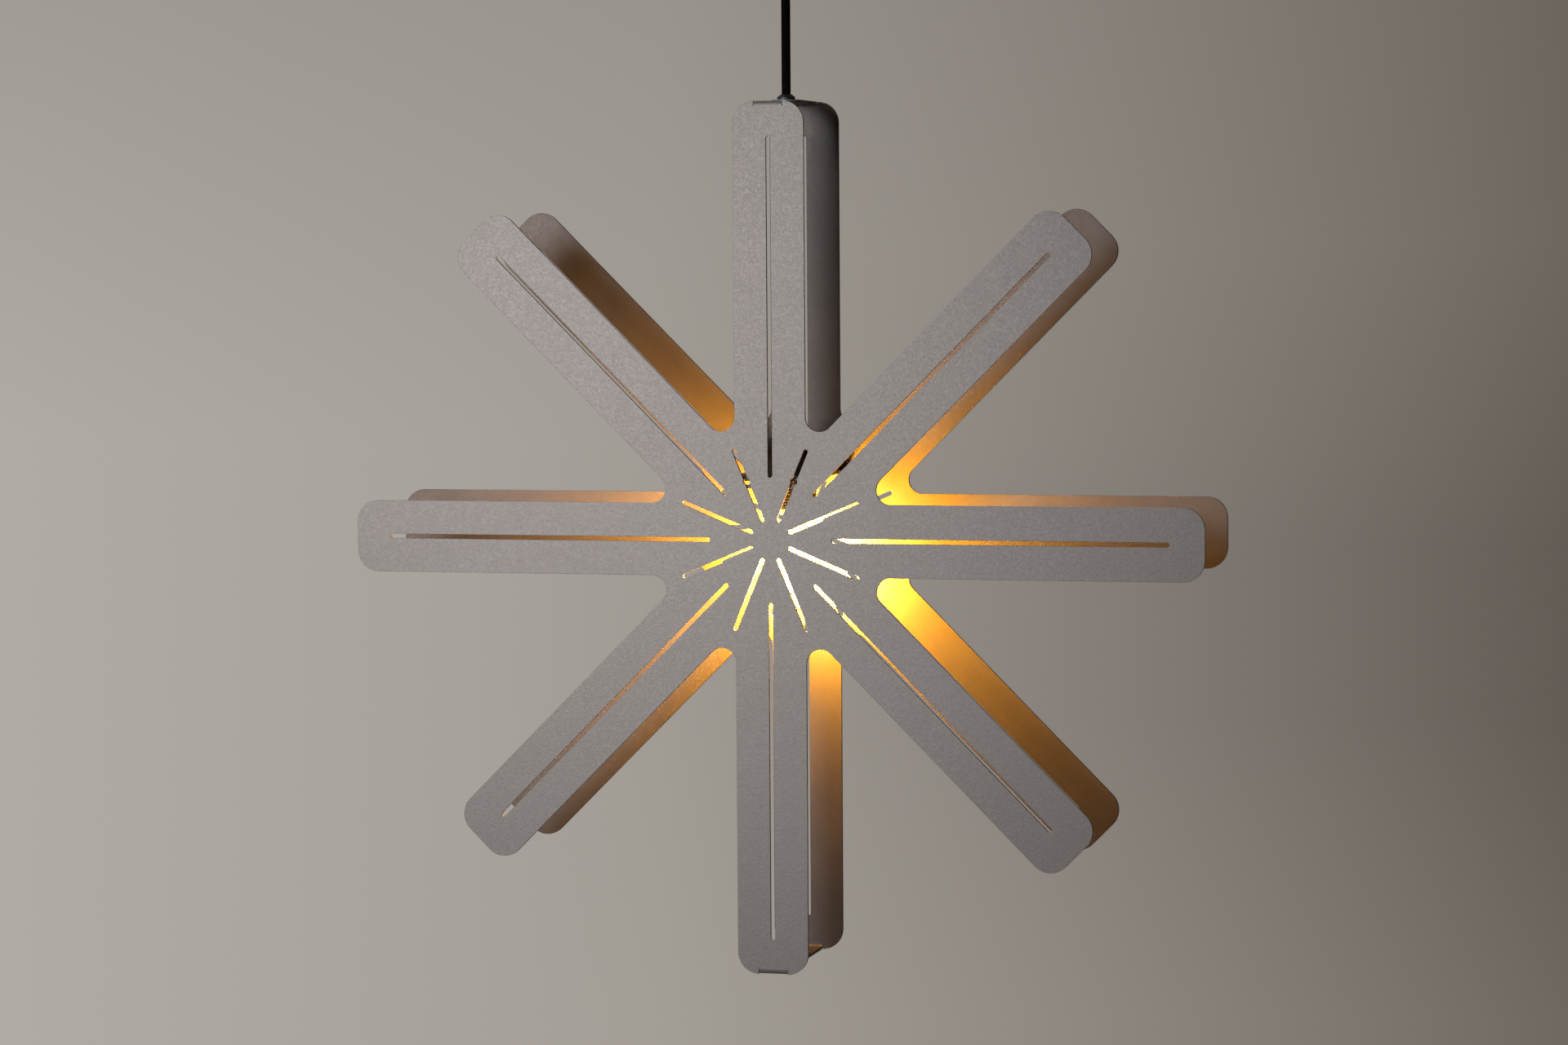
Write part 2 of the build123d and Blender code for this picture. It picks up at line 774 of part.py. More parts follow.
with BuildPart() as cord_clamp_screws:
    with BuildSketch(Plane.XZ.offset(-hanger_back)):
        with Locations((0, -clamp_level)):
            with GridLocations(clamp_screw_spacing, 0, 2, 1):
                Circle(clamp_screw_d / 2)
    extrude(amount=hanger_back - clamp_front)
    with BuildSketch(Plane.XZ.offset(-clamp_front)):
        with Locations((0, -clamp_level)):
            with GridLocations(clamp_screw_spacing, 0, 2, 1):
                Circle(clamp_head_d / 2)
    extrude(amount=clamp_head_h)
cord_clamp_screws.part.label = "cord_clamp_screws"
export_step(cord_clamp_screws.part, "parts/cord_clamp_screws.step")

# Terminal block on the hanger's front face, with a brass sleeve and a screw for each pole
with BuildPart() as terminal_block:
    block_low = -block_top - block_h
    with BuildSketch(Plane.XY.offset(block_low)):
        with Locations((0, hanger_y)):
            Rectangle(block_x, hanger_y + block_front, align=(Align.CENTER, Align.MAX))
        with Locations((0, -pole_front)):
            with GridLocations(pole_spacing, 0, 2, 1):
                Circle(sleeve_d / 2 + thread_clearance, mode=Mode.SUBTRACT)
    extrude(amount=block_h)
    with BuildSketch(Plane.XZ.offset(block_front)):
        with Locations((0, block_level)):
            with GridLocations(pole_spacing, 0, 2, 1):
                Circle(terminal_screw_d / 2 + thread_clearance)
    extrude(amount=pole_front - block_front, mode=Mode.SUBTRACT)
    with BuildSketch(Plane.XZ.offset(-hanger_y)):
        with Locations((0, block_level)):
            Circle(block_screw_d / 2 + thread_clearance)
    extrude(amount=hanger_y + block_front, mode=Mode.SUBTRACT)
    with BuildSketch(Plane.XZ.offset(block_front)):
        with Locations((0, block_level)):
            Circle(block_head_d / 2 + thread_clearance)
    extrude(amount=-block_head_sink, mode=Mode.SUBTRACT)
terminal_block.part.label = "terminal_block"
export_step(terminal_block.part, "parts/terminal_block.step")

with BuildPart() as terminal_sleeves:
    with BuildSketch(Plane.XY.offset(block_low + sleeve_inset)):
        with Locations((0, -pole_front)):
            with GridLocations(pole_spacing, 0, 2, 1):
                Circle(sleeve_d / 2)
                Circle(sleeve_bore / 2, mode=Mode.SUBTRACT)
    extrude(amount=block_h - 2 * sleeve_inset)
    with BuildSketch(Plane.XZ.offset(pole_front)):
        with Locations((0, block_level)):
            with GridLocations(pole_spacing, 0, 2, 1):
                Circle(terminal_screw_d / 2 + thread_clearance)
    extrude(amount=sleeve_d, mode=Mode.SUBTRACT)
terminal_sleeves.part.label = "terminal_sleeves"
export_step(terminal_sleeves.part, "parts/terminal_sleeves.step")

with BuildPart() as terminal_screws:
    with BuildSketch(Plane.XZ.offset(pole_front + core_d / 2 + core_gap)):
        with Locations((0, block_level)):
            with GridLocations(pole_spacing, 0, 2, 1):
                Circle(terminal_screw_d / 2)
    extrude(amount=block_front - pole_front - core_d / 2 - core_gap)
terminal_screws.part.label = "terminal_screws"
export_step(terminal_screws.part, "parts/terminal_screws.step")

with BuildPart() as block_screw:
    with BuildSketch(Plane.XZ.offset(-hanger_back)):
        with Locations((0, block_level)):
            Circle(block_screw_d / 2)
    extrude(amount=hanger_back + block_front - block_head_sink)
    with BuildSketch(Plane.XZ.offset(block_front - block_head_sink)):
        with Locations((0, block_level)):
            Circle(block_head_d / 2)
    extrude(amount=block_head_sink)
block_screw.part.label = "block_screw"
export_step(block_screw.part, "parts/block_screw.step")

# Cores of the cord at the ceiling, from the sheath into the terminal block
with BuildPart() as mains_cores:
    core_rise = (block_low - sheath_top) / 3
    for side in (1, -1):
        add_core(
            [
                (side * core_offset, 0, sheath_top + core_gap),
                (side * core_offset, 0, sheath_top + core_rise),
                (side * pole_spacing / 2, -pole_front, block_low - core_rise),
                (side * pole_spacing / 2, -pole_front, block_level - terminal_screw_d),
            ],
            core_bend,
        )
mains_cores.part.label = "mains_cores"
export_step(mains_cores.part, "parts/mains_cores.step")

# Ceiling cup with its cord grip
with BuildPart() as ceiling_cup:
    cup_r = cup_d / 2
    cup_in = cup_r - cup_wall
    cup_floor = cup_base + cup_wall
    grip_hole = grip_thread_d / 2 + hole_clearance
    revolve(
        profile(
            [
                (cup_in, -cup_rim_gap),
                (cup_r, -cup_rim_gap),
                (cup_r, cup_base),
                (grip_hole, cup_base),
                (grip_hole, cup_floor),
                (cup_in, cup_floor),
            ],
            [
                ((cup_r, cup_base), cup_round),
                ((cup_in, cup_floor), cup_round - cup_wall),
            ],
        ),
        axis=Axis.Z,
    )
ceiling_cup.part.label = "ceiling_cup"
export_step(ceiling_cup.part, "parts/ceiling_cup.step")

with BuildPart() as cup_grip:
    grip_top = cup_floor + cup_nut_h + grip_tail
    grip_shoulder = cup_base - grip_drop / 2
    revolve(
        profile(
            [
                (cord_bore, grip_low),
                (grip_low_d / 2, grip_low),
                (grip_d / 2, grip_shoulder),
                (grip_d / 2, cup_base),
                (grip_thread_d / 2, cup_base),
                (grip_thread_d / 2, grip_top),
                (cord_bore, grip_top),
            ]
        ),
        axis=Axis.Z,
    )
    grip_screw_level = (cup_base + grip_shoulder) / 2
    with BuildSketch(Plane.XZ.offset(cord_bore)):
        with Locations((0, grip_screw_level)):
            Circle(grip_screw_d / 2 + thread_clearance)
    extrude(amount=grip_d, mode=Mode.SUBTRACT)
cup_grip.part.label = "cup_grip"
export_step(cup_grip.part, "parts/cup_grip.step")

with BuildPart() as cup_nut:
    extrude(hexagon(cup_nut_flats, cup_floor), amount=cup_nut_h)
    extrude(disc(grip_thread_d / 2 + thread_clearance, cup_floor), amount=cup_nut_h, mode=Mode.SUBTRACT)
cup_nut.part.label = "cup_nut"
export_step(cup_nut.part, "parts/cup_nut.step")

with BuildPart() as cup_grip_screw:
    with BuildSketch(Plane.XZ.offset(cord_bore)):
        with Locations((0, grip_screw_level)):
            Circle(grip_screw_d / 2)
    extrude(amount=grip_d / 2 - cord_bore)
cup_grip_screw.part.label = "cup_grip_screw"
export_step(cup_grip_screw.part, "parts/cup_grip_screw.step")
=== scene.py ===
# %% [markdown]
# # An advent star pendant
# The lamp is two folded sheet stars that hang on a black cord, with a clear bulb between them.
# The solids come from the CAD frame, already in place and in metres. What is left for Blender is
# the looks: the speckled sheet, the moulded parts, the threads, the cord, the glass and the light.

# %% Load the frame
import json
from math import cos, pi, radians, sin

import bpy
import numpy as np
from mathutils import Matrix, Vector

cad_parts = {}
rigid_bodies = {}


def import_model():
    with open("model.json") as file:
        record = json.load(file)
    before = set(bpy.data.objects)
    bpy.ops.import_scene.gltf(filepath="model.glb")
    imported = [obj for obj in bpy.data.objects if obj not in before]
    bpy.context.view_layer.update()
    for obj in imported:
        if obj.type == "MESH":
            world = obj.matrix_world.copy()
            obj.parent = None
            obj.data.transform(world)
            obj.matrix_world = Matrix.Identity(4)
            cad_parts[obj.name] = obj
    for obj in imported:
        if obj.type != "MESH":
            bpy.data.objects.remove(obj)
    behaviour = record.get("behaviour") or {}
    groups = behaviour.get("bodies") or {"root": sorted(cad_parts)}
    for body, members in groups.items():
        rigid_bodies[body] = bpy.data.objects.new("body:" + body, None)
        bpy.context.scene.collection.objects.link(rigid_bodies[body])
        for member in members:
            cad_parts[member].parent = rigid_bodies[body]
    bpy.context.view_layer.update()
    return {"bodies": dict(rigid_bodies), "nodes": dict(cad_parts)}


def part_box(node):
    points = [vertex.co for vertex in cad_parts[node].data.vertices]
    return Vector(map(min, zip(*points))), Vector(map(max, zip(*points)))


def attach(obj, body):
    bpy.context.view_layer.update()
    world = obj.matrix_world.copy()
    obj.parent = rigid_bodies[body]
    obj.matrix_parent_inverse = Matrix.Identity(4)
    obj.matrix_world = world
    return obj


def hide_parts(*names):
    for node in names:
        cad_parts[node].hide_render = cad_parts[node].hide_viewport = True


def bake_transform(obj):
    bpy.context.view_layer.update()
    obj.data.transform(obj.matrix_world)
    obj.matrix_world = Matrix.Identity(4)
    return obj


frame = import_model()
nodes = frame["nodes"]

# %% [markdown]
# ## Camera
# A photograph fixes a camera completely: where it stands, how it is turned and how long its lens
# is. Here they were solved from the star's straight edges, whose real shape is known. The camera
# stands 15 degrees to the right of the star's axis and a little above its middle, and the long
# lens keeps the back star almost as large as the front one.

# %% Camera
camera_place = (0.75383, -2.85456, -0.24887)
camera_right = (0.966647, 0.256033, -0.006424)
camera_up = (-0.010675, 0.065339, 0.997806)
camera_back = (0.255891, -0.964457, 0.065893)
lens_in_pixels = 5206.16
photo_width = 1920

camera_data = bpy.data.cameras.new("photo_camera")
camera_data.sensor_width = 36.0
camera_data.lens = lens_in_pixels * camera_data.sensor_width / photo_width
camera_data.clip_end = 100.0
camera = bpy.data.objects.new("photo_camera", camera_data)
bpy.context.scene.collection.objects.link(camera)
turn = Matrix((camera_right, camera_up, camera_back)).transposed()
camera.matrix_world = Matrix.Translation(camera_place) @ turn.to_4x4()
bpy.context.scene.camera = camera
print("lens", round(camera_data.lens, 1), "mm")

# %% [markdown]
# ## Writing shaders as sums
# A shader is a small formula. The two classes below let it be written as one: a Wire is a socket
# that can be added and multiplied, and each operator adds the Math node that does it. A Paint is
# one material, and its node() method adds any other node, settings first and sockets after.

# %% Wire and Paint
class Wire:
    """A shader value: arithmetic on it adds Math nodes to its tree."""

    def __init__(self, tree, socket):
        self.tree, self.socket = tree, socket

    def math(self, operation, *values):
        """One Math node that does the operation on the values."""
        return self.tree.node("ShaderNodeMath", {"operation": operation}, dict(enumerate(values)))

    def __add__(self, other):
        return self.math("ADD", self, other)

    def __sub__(self, other):
        return self.math("SUBTRACT", self, other)

    def __rsub__(self, other):
        return self.math("SUBTRACT", other, self)

    def __mul__(self, other):
        return self.math("MULTIPLY", self, other)

    def __gt__(self, other):
        return self.math("GREATER_THAN", self, other)

    def at_least(self, other):
        """The larger of the two values."""
        return self.math("MAXIMUM", self, other)

    def __abs__(self):
        return self.math("ABSOLUTE", self)

    __radd__ = __add__
    __rmul__ = __mul__

    def between(self, low, high):
        """0 below low, 1 above high, and a straight rise between them."""
        return self.tree.node(
            "ShaderNodeMapRange", {"clamp": True}, {"From Min": low, "From Max": high, "Value": self}
        )


class Tree:
    """A node tree; node() adds one node and returns one of its outputs as a Wire."""

    def __init__(self, node_tree):
        self.nodes, self.links = node_tree.nodes, node_tree.links
        self.nodes.clear()

    def node(self, kind, settings=None, sockets=None, output=0):
        made = self.nodes.new(kind)
        for name, value in (settings or {}).items():
            if name == "stops":
                ramp = made.color_ramp.elements
                while len(ramp) < len(value):
                    ramp.new(0.5)
                for element, (place, colour) in zip(ramp, value):
                    element.position, element.color = place, (*colour, 1.0)
            else:
                setattr(made, name, value)
        for name, value in (sockets or {}).items():
            if isinstance(value, Wire):
                self.links.new(value.socket, made.inputs[name])
            elif isinstance(value, tuple) and made.inputs[name].type == "RGBA":
                made.inputs[name].default_value = (*value, 1.0)
            else:
                made.inputs[name].default_value = value
        return Wire(self, made.outputs[output]) if made.outputs else None

    def blend(self, factor, first, second):
        """A colour that goes from first to second as factor goes from 0 to 1."""
        return self.node("ShaderNodeMix", {"data_type": "RGBA"}, {0: factor, 6: first, 7: second}, 2)

    def place(self, stretch=(1.0, 1.0, 1.0)):
        """The point on the piece in metres, stretched per axis."""
        here = self.node("ShaderNodeTexCoord", output="Object")
        if stretch == (1.0, 1.0, 1.0):
            return here
        return self.node("ShaderNodeMapping", None, {"Vector": here, "Scale": stretch})

    def noise(self, size, detail=2.0, stretch=(1.0, 1.0, 1.0), roughness=0.5):
        """Soft noise around 0.5, with lumps about size metres across."""
        lumps = {"Scale": 1.0 / size, "Detail": detail, "Roughness": roughness}
        return self.node("ShaderNodeTexNoise", None, {"Vector": self.place(stretch), **lumps})

    def cells(self, size):
        """One random value per cell of about size metres."""
        colour = self.node(
            "ShaderNodeTexVoronoi", None, {"Vector": self.place(), "Scale": 1.0 / size}, "Color"
        )
        return self.node("ShaderNodeSeparateColor", None, {"Color": colour})

    def bump(self, height, depth, round_edges=0.0):
        """A normal that rises by depth metres where height is 1. With round_edges it also turns
        over sharp edges, as if they had that radius."""
        sockets = {"Height": height, "Distance": depth, "Strength": 1.0}
        if round_edges:
            sockets["Normal"] = self.node("ShaderNodeBevel", {"samples": 6}, {"Radius": round_edges})
        return self.node("ShaderNodeBump", None, sockets)


class Paint(Tree):
    """One material. dress() ends it with a Principled BSDF that takes the given sockets, with an
    underscore for each space in a socket's name."""

    def __init__(self, name):
        self.material = bpy.data.materials.new(name)
        self.material.use_nodes = True
        super().__init__(self.material.node_tree)

    def dress(self, **sockets):
        named = {name.replace("_", " "): value for name, value in sockets.items()}
        surface = self.node("ShaderNodeBsdfPrincipled", None, named)
        self.node("ShaderNodeOutputMaterial", None, {"Surface": surface})
        return self.material


def finish_nodes(material, *names):
    """Puts a material on CAD nodes."""
    for name in names:
        for slot in nodes[name].material_slots:
            slot.material = material
    print(material.name, "on", ", ".join(names))


# %% [markdown]
# ## Sheet of the stars
# The stars are cut from grey coated sheet. Close up the outside has a fine salt and pepper grain of
# about a millimetre, and a faint cloudiness over some centimetres. One noise alone looks like fog,
# so three sizes are added: hard little cells, a fine grain and wide clouds. The coat holds metal
# flakes, so it is mostly metallic, and turns dark where a fold turns away from the lamp. The inside
# is plain and painted darker, as painted shade for the space between the two stars. The two folds
# run along X. Seen from the side their axes are corners of a rectangle, and a point is outside when
# it lies further from it than the middle of the sheet does.

# %% Speckled sheet
sheet_thickness, bend_radius = 0.002, 0.0015
sheet_middle = bend_radius + sheet_thickness / 2
grain_size, fleck_size, cloud_size = 0.0016, 0.0013, 0.03
grain_depth, edge_rounding = 0.00004, 0.0005


def speckled(name, star):
    """The sheet of a star: speckled outside, plain inside and painted darker there as painted shade.
    The axes of its folds lie one thickness and one bend radius inside the star's box."""
    (_, front, foot), (_, back, top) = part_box(star)
    inset = sheet_thickness + bend_radius
    fold_depth = max(-front, back) - inset
    fold_height, level = (top - foot) / 2 - inset, (top + foot) / 2
    sheet = Paint(name)
    grain = sheet.noise(grain_size, 3.0, roughness=0.65).between(0.32, 0.68)
    flecks = sheet.cells(fleck_size)
    clouds = sheet.noise(cloud_size, 3.0).between(0.3, 0.7)
    speckle = 0.55 * grain + 0.35 * flecks + 0.1 * clouds
    grey = sheet.blend(speckle, (0.28, 0.259, 0.252), (0.36, 0.336, 0.326))
    depth, height = (
        sheet.node("ShaderNodeSeparateXYZ", None, {"Vector": sheet.place()}, axis) for axis in "YZ"
    )
    past_depth = (abs(depth) - fold_depth).at_least(0.0)
    past_height = (abs(height - level) - fold_height).at_least(0.0)
    outside = past_depth * past_depth + past_height * past_height > sheet_middle * sheet_middle
    # Painted shade: the inside faces get a darker plain grey that stands for the shade between the two
    # stars.
    plain = sheet.blend(clouds, (0.15, 0.138, 0.133), (0.17, 0.157, 0.151))
    return sheet.dress(
        Base_Color=sheet.blend(outside, plain, grey),
        Roughness=0.62 + 0.08 * flecks,
        Metallic=0.7,
        Normal=sheet.bump(outside * (grain + flecks), grain_depth, edge_rounding),
    )


finish_nodes(speckled("front_sheet", "front_star"), "front_star", "holder_bracket")
finish_nodes(speckled("back_sheet", "back_star"), "back_star")

# %% [markdown]
# ## Black moulded parts
# The holder, the bushing and the ceiling cup are black thermoplastic from a spark-eroded mould, so
# they carry a very fine even grain. It shows in the sheen, not in the colour, so the grain goes
# into roughness and bump, and the colour changes only a little.

# %% Moulded black
moulding = Paint("moulded_black")
spark = moulding.noise(0.0005, 2.0)
handled = moulding.noise(0.02, 3.0).between(0.35, 0.7)
moulded_black = moulding.dress(
    Base_Color=moulding.blend(handled, (0.012, 0.012, 0.012), (0.024, 0.023, 0.022)),
    Roughness=0.36 + 0.12 * handled + 0.1 * spark,
    Normal=moulding.bump(spark, 0.00005),
)
finish_nodes(
    moulded_black, "cord_bushing", "bushing_nut", "holder_cap", "cord_lock_screw",
    "ceiling_cup", "cup_grip", "cup_nut", "cup_grip_screw", "cord_clamp",
)

# %% [markdown]
# ## Metals
# Small parts are zinc-plated steel, brass and bright nickel. Metal colour is all in the
# reflection, so each gets Metallic 1 and a roughness that wanders with the plating or with the
# drawing marks.

# %% Zinc, brass, nickel and wire
def metal(name, dark, bright, lump, smooth, rough, stretch=(1.0, 1.0, 1.0)):
    """A metal whose tint and roughness drift together over lumps of the given size."""
    made = Paint(name)
    drift = made.noise(lump, 3.0, stretch).between(0.3, 0.7)
    fine = made.noise(lump / 12, 2.0, stretch)
    return made.dress(
        Base_Color=made.blend(drift, dark, bright),
        Roughness=smooth + (rough - smooth) * (0.6 * drift + 0.4 * fine),
        Metallic=1.0,
        Normal=made.bump(fine, 0.00002),
    )


zinc_plate = metal(
    "zinc_plate", (0.50, 0.50, 0.49), (0.66, 0.66, 0.64), lump=0.004, smooth=0.28, rough=0.46
)
satin_brass = metal(
    "satin_brass", (0.52, 0.34, 0.13), (0.74, 0.55, 0.27), lump=0.005, smooth=0.24, rough=0.42
)
rolled_nickel = metal(
    "rolled_nickel", (0.62, 0.61, 0.58), (0.78, 0.77, 0.75), lump=0.006, smooth=0.16, rough=0.3
)
drawn_wire = metal(
    "drawn_wire", (0.5, 0.5, 0.5), (0.66, 0.66, 0.66), lump=0.003, smooth=0.22, rough=0.36,
    stretch=(1.0, 1.0, 0.1),
)
finish_nodes(
    zinc_plate, "bottom_screw", "bottom_nut", "shade_ring", "cord_clamp_screws", "block_screw",
    "ceiling_bracket", "terminal_screws",
)
finish_nodes(
    satin_brass, "holder_terminals", "screw_shell", "centre_contact", "bulb_contact", "terminal_sleeves"
)
finish_nodes(drawn_wire, "bulb_leads")

# %% [markdown]
# ## Ceramic, white block and wire colours
# The insert in the holder is unglazed ceramic, the terminal block white plastic, and the two cores
# are blue on the left and brown on the right, which a test on the X coordinate gives.

# %% Insulators
ceramic = Paint("unglazed_ceramic")
fired = ceramic.noise(0.003, 4.0).between(0.3, 0.75)
unglazed_ceramic = ceramic.dress(
    Base_Color=ceramic.blend(fired, (0.70, 0.67, 0.60), (0.82, 0.80, 0.75)),
    Roughness=0.55 + 0.2 * fired,
    Normal=ceramic.bump(fired, 0.00005),
)
finish_nodes(unglazed_ceramic, "holder_insert")

block = Paint("white_block")
milky = block.noise(0.006, 2.0).between(0.3, 0.7)
white_block = block.dress(
    Base_Color=block.blend(milky, (0.70, 0.70, 0.67), (0.80, 0.80, 0.78)), Roughness=0.34 + 0.12 * milky
)
finish_nodes(white_block, "terminal_block")

core = Paint("core_colours")
side = core.node("ShaderNodeSeparateXYZ", None, {"Vector": core.place()}) > 0.0
dull = core.noise(0.002, 2.0)
core_colours = core.dress(
    Base_Color=core.blend(side, (0.03, 0.09, 0.30), (0.16, 0.07, 0.03)), Roughness=0.35 + 0.2 * dull
)
finish_nodes(core_colours, "holder_cores", "mains_cores")

# %% [markdown]
# ## Threads
# Through the slots one sees a row of fine ridges: the thread on the holder's skirt. A thread is
# one surface, a closed outline carried round an axis while its ridges climb one pitch per turn, so
# the radius is a formula of the angle and the height and needs no modelling by hand.

# %% A turned piece with a thread
def turned(name, outline, thread, low, high, pitch, depth, around=120):
    """A closed outline of (radius, height) points, turned about the Z axis. Where thread is 1 the
    radius drops by depth * (1 - ridge), and ridge is (1 + cos(2 pi height / pitch - angle)) / 2, which
    climbs one pitch per turn. Towards low and high the thread runs out within one pitch."""
    radius, height = np.array(outline).T
    angle = np.linspace(0.0, 2 * pi, around, endpoint=False)[:, None]
    ridge = (1 + np.cos(2 * pi * height / pitch - angle)) / 2
    fade = np.clip(np.minimum(height - low, high - height) / pitch, 0.0, 1.0)
    reach = radius - np.array(thread) * fade * depth * (1 - ridge)
    points = np.stack([reach * np.cos(angle), reach * np.sin(angle), height + 0 * angle], -1)
    count = len(radius)
    here = np.arange(around)[:, None] * count + np.arange(count)
    beside = np.roll(here, -1, axis=0)
    quads = np.stack([here, beside, np.roll(beside, -1, axis=1), np.roll(here, -1, axis=1)], -1)
    mesh = bpy.data.meshes.new(name)
    mesh.from_pydata(points.reshape(-1, 3), [], quads.reshape(-1, 4))
    mesh.validate()
    piece = bpy.data.objects.new(name, mesh)
    bpy.context.scene.collection.objects.link(piece)
    print(name, len(quads) * count, "quads")
    return piece


def along(first, last, step):
    """Points from first up to, but without, last, about step apart."""
    first, last = np.array(first), np.array(last)
    parts = max(1, int(np.ceil(np.linalg.norm(last - first) / step)))
    return first + (last - first) * (np.arange(parts) / parts)[:, None]


def soften(piece, angle=40.0):
    """Smooth shading, with edges sharper than angle kept crisp."""
    piece.data.shade_smooth()
    piece.data.set_sharp_from_angle(angle=radians(angle))


# %% Threaded skirt of the lamp holder
skirt_foot, skirt_top = (corner[2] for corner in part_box("holder_skirt"))
shelf_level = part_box("holder_bracket")[1][2]
collar_r, skirt_r, bore_r, neck_r, seat_r = 0.023, 0.01975, 0.01645, 0.0186, 0.0172
collar_h, ledge = 0.003, 0.006
thread_pitch, thread_depth, thread_end_gap = 0.0022, 0.0006, 0.002
thread_step, plain_step = 0.00022, 0.002
corners = [  # radius, height, step to the next corner, and 1 if the thread is on that way
    (skirt_r, skirt_foot, thread_step, 1),
    (skirt_r, shelf_level, plain_step, 0),
    (collar_r, shelf_level, plain_step, 0),
    (collar_r, shelf_level + collar_h, plain_step, 0),
    (neck_r, shelf_level + collar_h, plain_step, 0),
    (neck_r, skirt_top, plain_step, 0),
    (seat_r, skirt_top, plain_step, 0),
    (seat_r, shelf_level + ledge, plain_step, 0),
    (bore_r, shelf_level + ledge, plain_step, 0),
    (bore_r, skirt_foot, plain_step, 0),
]
runs = [
    along(corner[:2], corners[(place + 1) % len(corners)][:2], corner[2])
    for place, corner in enumerate(corners)
]
threaded = np.concatenate([np.full(len(run), corner[3]) for run, corner in zip(runs, corners)])
skirt = turned(
    "threaded_skirt", np.concatenate(runs), threaded, skirt_foot, shelf_level - thread_end_gap,
    thread_pitch, thread_depth,
)
soften(skirt)
skirt.data.materials.append(moulded_black)
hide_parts("holder_skirt")
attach(skirt, "star")

# %% [markdown]
# ## Bulb
# The bulb is clear glass round upright yellow filaments on a glass stem. The wall is so thin that
# it hardly bends what is behind it, so a thin film does better than solid glass: almost
# see-through face on, and more of a mirror towards the rim. A film also lets the light out.

# %% Glass, filaments and cap
glass = Paint("clear_glass")
rim = glass.node("ShaderNodeLayerWeight", None, {"Blend": 0.35}, "Facing")
smear = glass.noise(0.012, 3.0).between(0.4, 0.8)
clear_glass = glass.dress(
    Base_Color=(0.1, 0.13, 0.24),
    Roughness=0.02 + 0.05 * smear,
    Alpha=0.05 + 0.03 * smear + 0.38 * rim * rim * rim,
)
finish_nodes(clear_glass, "bulb_glass", "bulb_stem")

glow = Paint("lit_filament")
grit = glow.noise(0.0007, 2.0).between(0.3, 0.7)
lit_filament = glow.dress(
    Base_Color=(0.9, 0.6, 0.2),
    Roughness=0.6,
    Emission_Color=glow.blend(grit, (1.0, 0.66, 0.28), (1.0, 0.74, 0.38)),
    Emission_Strength=40.0,
)
finish_nodes(lit_filament, "bulb_filaments")

pip = Paint("black_glass")
flow = pip.noise(0.004, 2.0)
black_glass = pip.dress(
    Base_Color=pip.blend(flow, (0.012, 0.012, 0.014), (0.03, 0.03, 0.034)), Roughness=0.08 + 0.1 * flow
)
finish_nodes(black_glass, "bulb_insulator")
finish_nodes(rolled_nickel, "bulb_cap")

# %% [markdown]
# ## Cord
# The cord hangs dead straight because the star's weight pulls it tight. Its middle line is a smooth
# curve, and a ring of points carried along that line makes the tube. It goes from the lamp holder
# up through the bushing and the ceiling cup to the clamp.

# %% Cord
sheath = Paint("cord_sheath")
drawn = sheath.noise(0.0012, 2.0, (1.0, 1.0, 0.05))
dust = sheath.noise(0.009, 3.0).between(0.45, 0.75)
cord_sheath = sheath.dress(
    Base_Color=sheath.blend(dust, (0.002, 0.002, 0.002), (0.005, 0.004, 0.004)),
    Roughness=0.74 + 0.14 * drawn + 0.08 * dust,
    Specular_IOR_Level=0.03,
    Normal=sheath.bump(drawn, 0.00003),
)
cord_diameter, cord_low, cord_high = 0.0063, -0.3831, -0.026
print("cord", round(cord_high - cord_low, 4), "m long")

# %% Middle line of the cord
route = bpy.data.curves.new("cord_route", "CURVE")
route.dimensions = "3D"
route.resolution_u = 90
spline = route.splines.new("NURBS")
heights = np.linspace(cord_low, cord_high, 4)
on_axis, weights = np.zeros_like(heights), np.ones_like(heights)
spline.points.add(len(heights) - 1)
spline.points.foreach_set("co", np.stack([on_axis, on_axis, heights, weights], -1).ravel())
spline.order_u = 3
spline.use_endpoint_u = True
route_line = bpy.data.objects.new("cord_route", route)
bpy.context.scene.collection.objects.link(route_line)
middle_mesh = bpy.data.meshes.new_from_object(route_line)
middle = np.empty(len(middle_mesh.vertices) * 3)
middle_mesh.vertices.foreach_get("co", middle)
middle = middle.reshape(-1, 3)
bpy.data.objects.remove(route_line)
print("middle line of", len(middle), "points")


# %% Tube of the cord
def tube(name, line, diameter, around=28):
    """A ring of points, (cos a, sin a) times half the diameter, carried up an upright line, with
    flat ends."""
    angle = np.linspace(0.0, 2 * pi, around, endpoint=False)
    ring = np.stack([np.cos(angle), np.sin(angle), 0 * angle], -1) * diameter / 2
    points = line[:, None, :] + ring
    here = np.arange(len(line) - 1)[:, None] * around + np.arange(around)
    beside = np.roll(here, -1, axis=1)
    sides = np.stack([here, beside, beside + around, here + around], -1).reshape(-1, 4)
    last = (len(line) - 1) * around + np.arange(around)
    faces = sides.tolist() + [np.arange(around)[::-1].tolist(), last.tolist()]
    mesh = bpy.data.meshes.new(name)
    mesh.from_pydata(points.reshape(-1, 3), [], faces)
    piece = bpy.data.objects.new(name, mesh)
    bpy.context.scene.collection.objects.link(piece)
    print(name, len(faces), "faces")
    return piece


cord = tube("black_cord", middle, cord_diameter)
soften(cord)
cord.data.materials.append(cord_sheath)
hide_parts("cord", "lower_cord")
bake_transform(cord)

